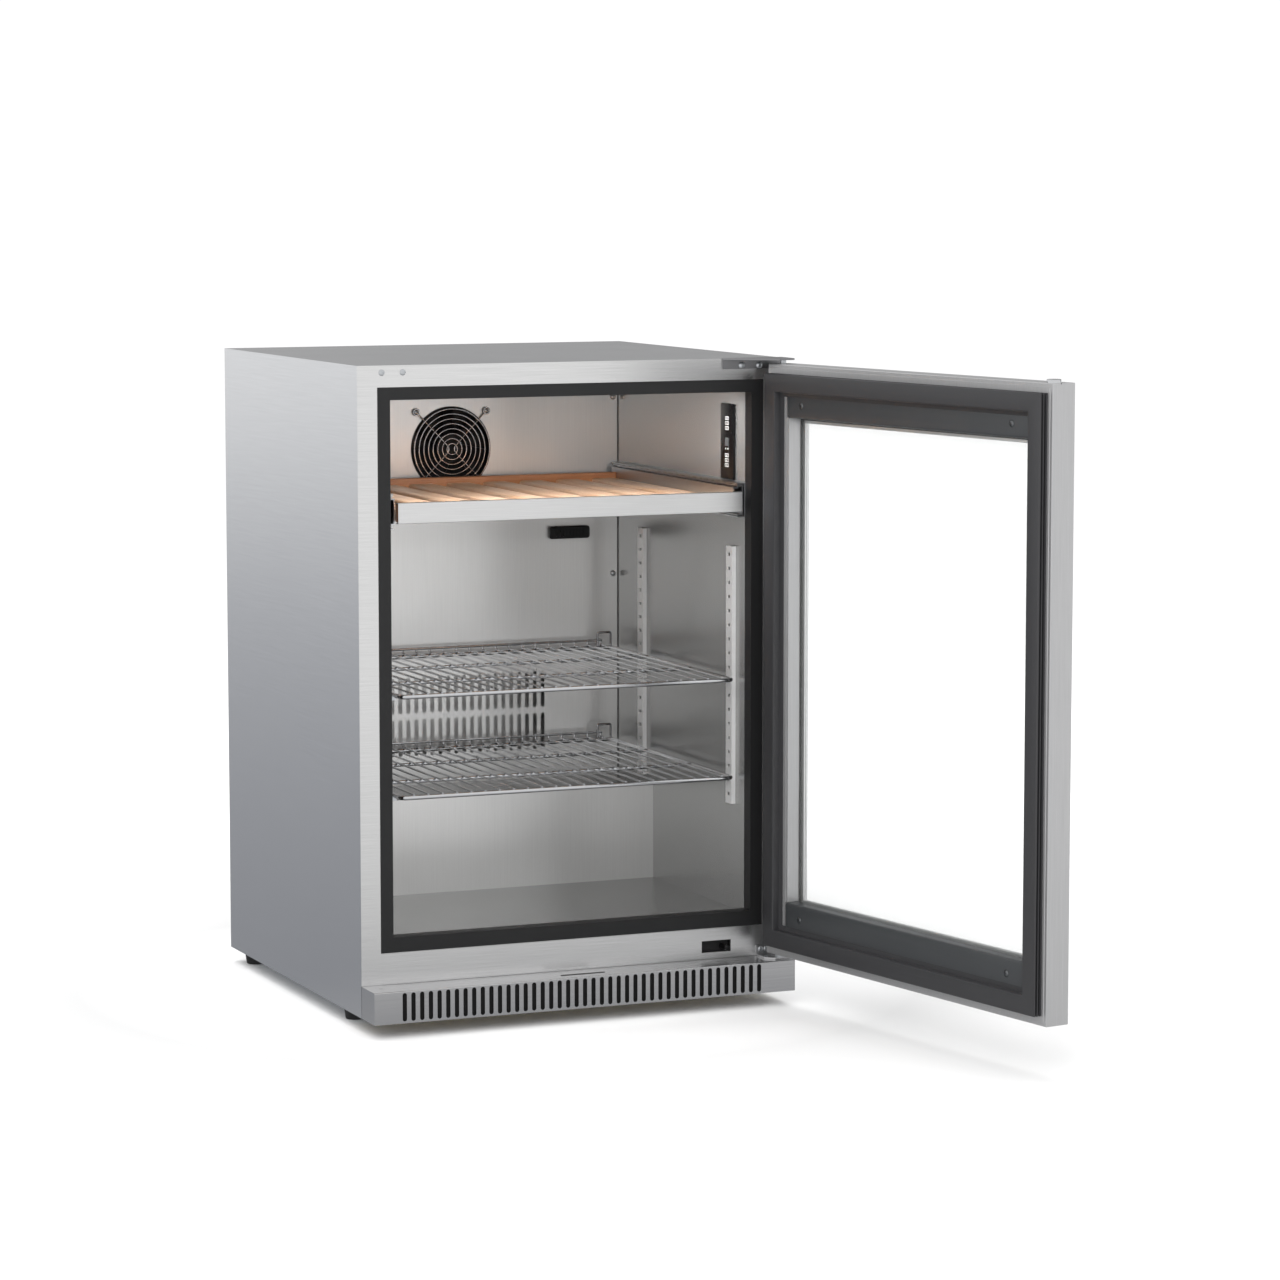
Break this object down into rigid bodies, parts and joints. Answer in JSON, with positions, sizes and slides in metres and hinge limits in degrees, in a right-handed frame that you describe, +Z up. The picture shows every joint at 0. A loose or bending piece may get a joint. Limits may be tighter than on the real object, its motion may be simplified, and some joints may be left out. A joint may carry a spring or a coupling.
{
  "type": "under-counter drinks fridge",
  "caption": "Stainless under-counter drinks fridge with an open glass door, a pull-out wooden wine rack and wire shelves.",
  "frame": {"origin": "on the floor, under the centre of the cabinet's footprint (595 mm by 552 mm)", "axes": "+X to the right seen from the front, +Y to the back, +Z up; the door opens towards -Y"},
  "size_m": [0.7051, 1.1602, 0.8633],
  "materials": {
    "stainless_skin": "brushed",
    "stainless_liner": "satin",
    "stainless_trim": "brushed",
    "chrome_wire": "plated",
    "zinc_steel": "zinc plated",
    "black_plastic": "moulded",
    "black_gloss": "gloss",
    "grey_plastic": "moulded",
    "slate_paint": "satin",
    "seal_rubber": "moulded",
    "black_rubber": "moulded",
    "glass": "clear",
    "beech": "oiled",
    "foam": "rigid foam",
    "black_steel": "painted",
    "aluminium_fin": "mill",
    "lamp_lens": "frosted"
  },
  "bodies": {
    "cabinet": {"side_panel_left": "stainless_skin", "side_panel_right": "stainless_skin", "top_panel": "stainless_skin", "back_panel": "zinc_steel", "base_pan": "zinc_steel", "front_flange": "stainless_skin", "thermal_break": "black_plastic", "insulation_foam": "foam", "liner": "stainless_liner", "duct_panel": "stainless_liner", "duct_screws": "zinc_steel", "fan_guard": "chrome_wire", "evaporator_fan_frame": "black_plastic", "evaporator_coil": "aluminium_fin", "sensor_cover": "black_gloss", "control_panel": "black_gloss", "light_strip": "lamp_lens", "shelf_uprights": "stainless_liner", "shelf_hooks": "zinc_steel", "slide_fixed": "zinc_steel", "kick_plate": "stainless_skin", "door_switch": "black_plastic", "foot_front_left": "black_rubber", "foot_front_right": "black_rubber", "foot_rear_left": "black_rubber", "foot_rear_right": "black_rubber", "top_hinge_bracket": "stainless_trim", "bottom_hinge_bracket": "stainless_trim", "hinge_pins": "zinc_steel", "cabinet_screws": "zinc_steel", "compressor": "black_steel", "compressor_grommets": "black_rubber", "condenser_coil": "black_steel", "condenser_fan_cowl": "black_plastic", "drip_tray": "black_plastic", "control_box": "grey_plastic", "mains_inlet": "black_plastic"},
    "door": {"door_frame": "stainless_trim", "hinge_bushes": "black_plastic", "glass_outer": "glass", "glass_inner": "glass", "glass_spacer": "black_plastic", "door_seal": "seal_rubber", "door_top_bar": "slate_paint", "door_bottom_bar": "slate_paint", "door_bar_screws": "zinc_steel", "door_edge_trims": "stainless_trim", "door_top_cap": "chrome_wire"},
    "wine_rack": {"rack_front_band": "stainless_trim", "rack_front_rail": "beech", "rack_back_rail": "beech", "rack_side_rails": "beech", "rack_slats": "beech", "slide_moving": "zinc_steel"},
    "slide_middles": {"slide_middle": "zinc_steel"},
    "shelf_upper": {"wire_shelf_upper": "chrome_wire"},
    "shelf_lower": {"wire_shelf_lower": "chrome_wire"},
    "evaporator_fan": {"evaporator_fan_rotor": "black_plastic"},
    "condenser_fan": {"condenser_fan_rotor": "black_plastic"},
    "switch": {"switch_plunger": "black_plastic"}
  },
  "joints": [
    {"name": "door_hinge", "type": "hinge", "parent": "cabinet", "child": "door", "pos_m": [0.2855, -0.3064, 0.4], "axis": [0, 0, 1], "range_deg": [-100.2, 14.8]},
    {"name": "rack_slide", "type": "slide", "parent": "cabinet", "child": "wine_rack", "axis": [0, -1, 0], "range_m": [0, 0.36]},
    {"name": "middle_slide", "type": "slide", "parent": "cabinet", "child": "slide_middles", "axis": [0, -1, 0], "range_m": [0, 0.18]},
    {"name": "upper_shelf_slide", "type": "slide", "parent": "cabinet", "child": "shelf_upper", "axis": [0, -1, 0], "range_m": [0, 0.3]},
    {"name": "lower_shelf_slide", "type": "slide", "parent": "cabinet", "child": "shelf_lower", "axis": [0, -1, 0], "range_m": [0, 0.3]},
    {"name": "evaporator_fan_spin", "type": "hinge", "parent": "cabinet", "child": "evaporator_fan", "pos_m": [0, 0.1825, 0.721], "axis": [0, 1, 0], "continuous": true},
    {"name": "condenser_fan_spin", "type": "hinge", "parent": "cabinet", "child": "condenser_fan", "pos_m": [-0.026, 0.155, 0.11], "axis": [1, 0, 0], "continuous": true},
    {"name": "switch_press", "type": "slide", "parent": "cabinet", "child": "switch", "axis": [0, 1, 0], "range_m": [0, 0.005], "stiffness_N_per_m": 200, "springref_m": -0.002}
  ],
  "couplings": [
    {"joint": "middle_slide", "follows": "rack_slide", "ratio": 0.5}
  ]
}
